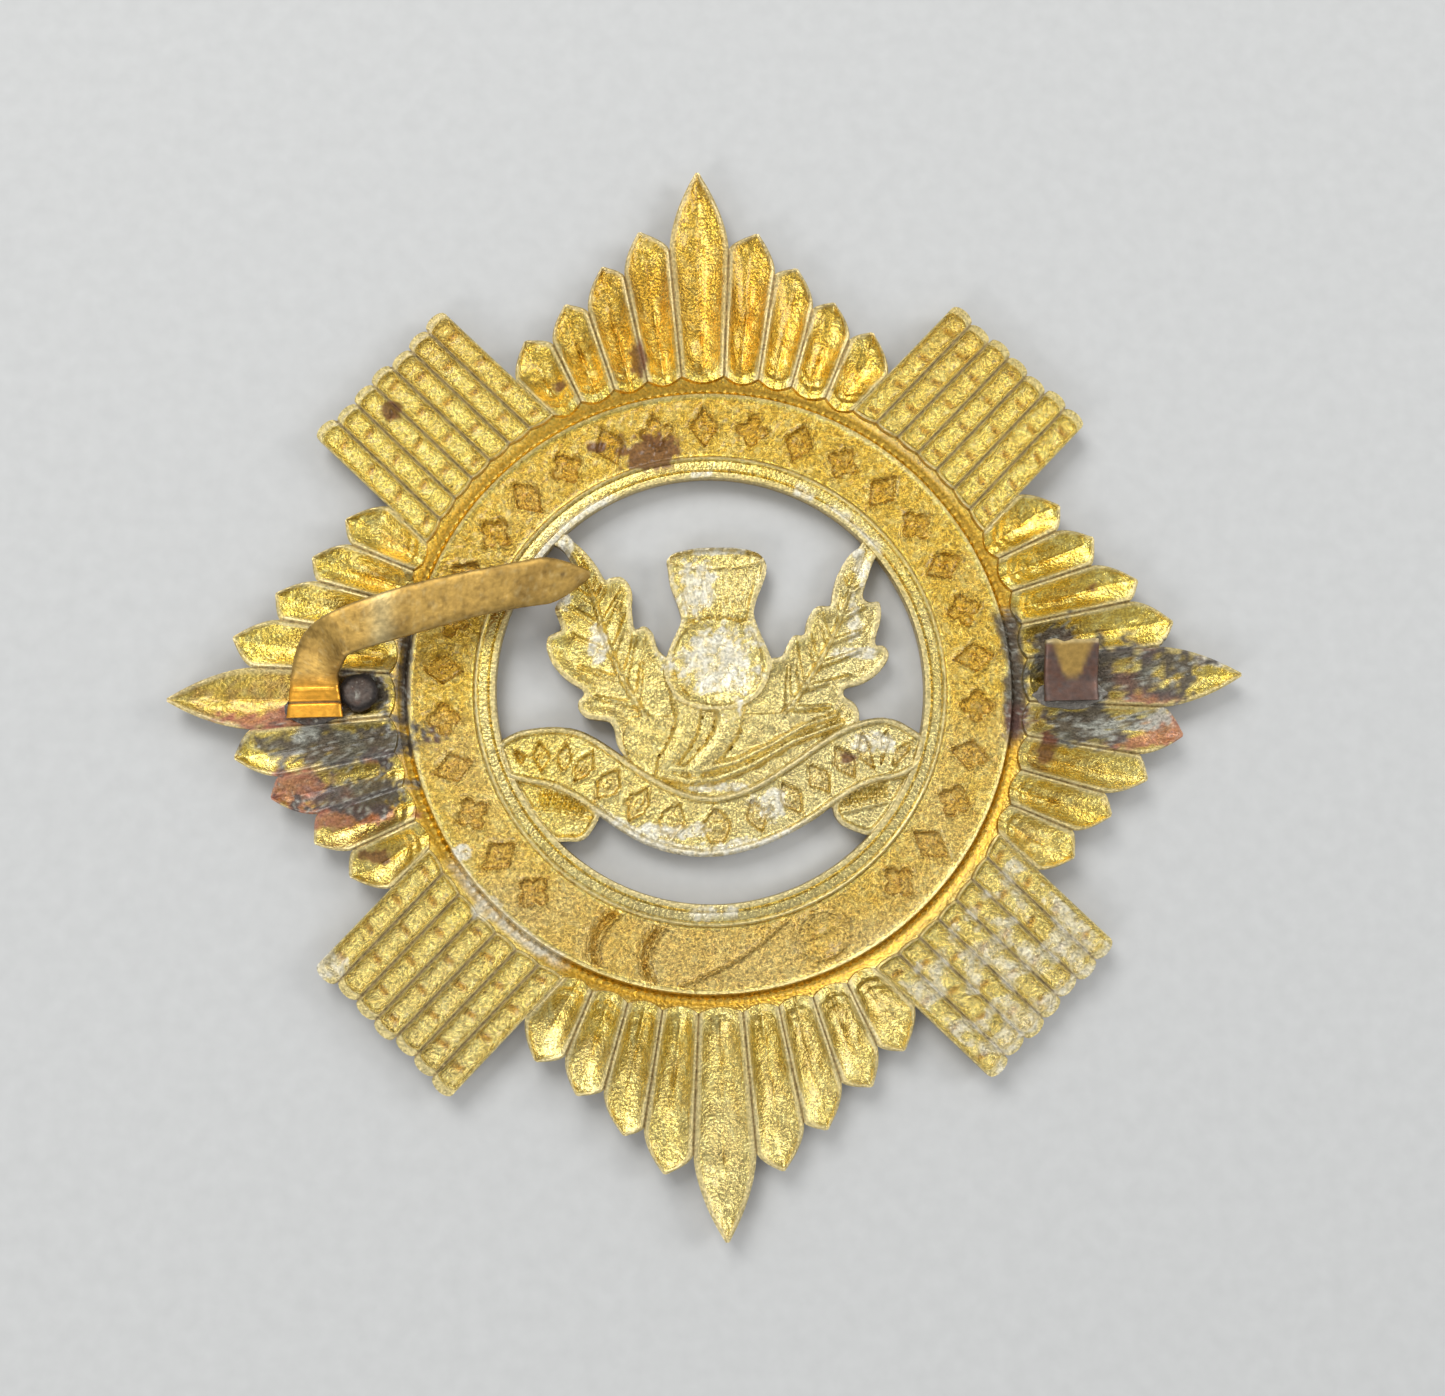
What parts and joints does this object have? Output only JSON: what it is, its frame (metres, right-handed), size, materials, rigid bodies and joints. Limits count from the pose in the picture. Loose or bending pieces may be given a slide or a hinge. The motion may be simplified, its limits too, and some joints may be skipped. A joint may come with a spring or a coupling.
{
  "type": "cap badge",
  "caption": "Star-shaped pierced cap badge with fluted diagonal arms, round strap, thistle and scroll, lying face down with one bendable fixing prong and one broken one.",
  "frame": {"origin": "centre of the star, in the plane of the lowest relief on the front", "axes": "+Z out of the back, towards the prongs; +Y to the top of the badge; +X to the right of someone looking at the back"},
  "size_m": [0.066, 0.066, 0.0048],
  "materials": {
    "gilt_plate": "struck brass, gold-lacquered, worn pale on its high spots",
    "prong_brass": "dull rolled brass strip",
    "solder": "dark oxidised soft solder"
  },
  "bodies": {
    "badge": {"badge_plate": "gilt_plate", "left_prong_foot": "prong_brass", "right_prong_stub": "prong_brass", "left_solder_bed": "solder", "right_solder_bed": "solder", "solder_blob": "solder"},
    "left_prong_riser": {"left_prong_riser": "prong_brass"},
    "left_prong_blade": {"left_prong_blade": "prong_brass"}
  },
  "joints": [
    {"name": "left_prong_foot_bend", "type": "hinge", "parent": "badge", "child": "left_prong_riser", "pos_m": [-0.024, 0.00065, 0.00232], "axis": [1, 0, 0], "range_deg": [0, 60]},
    {"name": "left_prong_elbow_bend", "type": "hinge", "parent": "left_prong_riser", "child": "left_prong_blade", "pos_m": [-0.02196, 0.00356, 0.00453], "axis": [0.342, -0.9397, 0], "range_deg": [0, 75]}
  ]
}
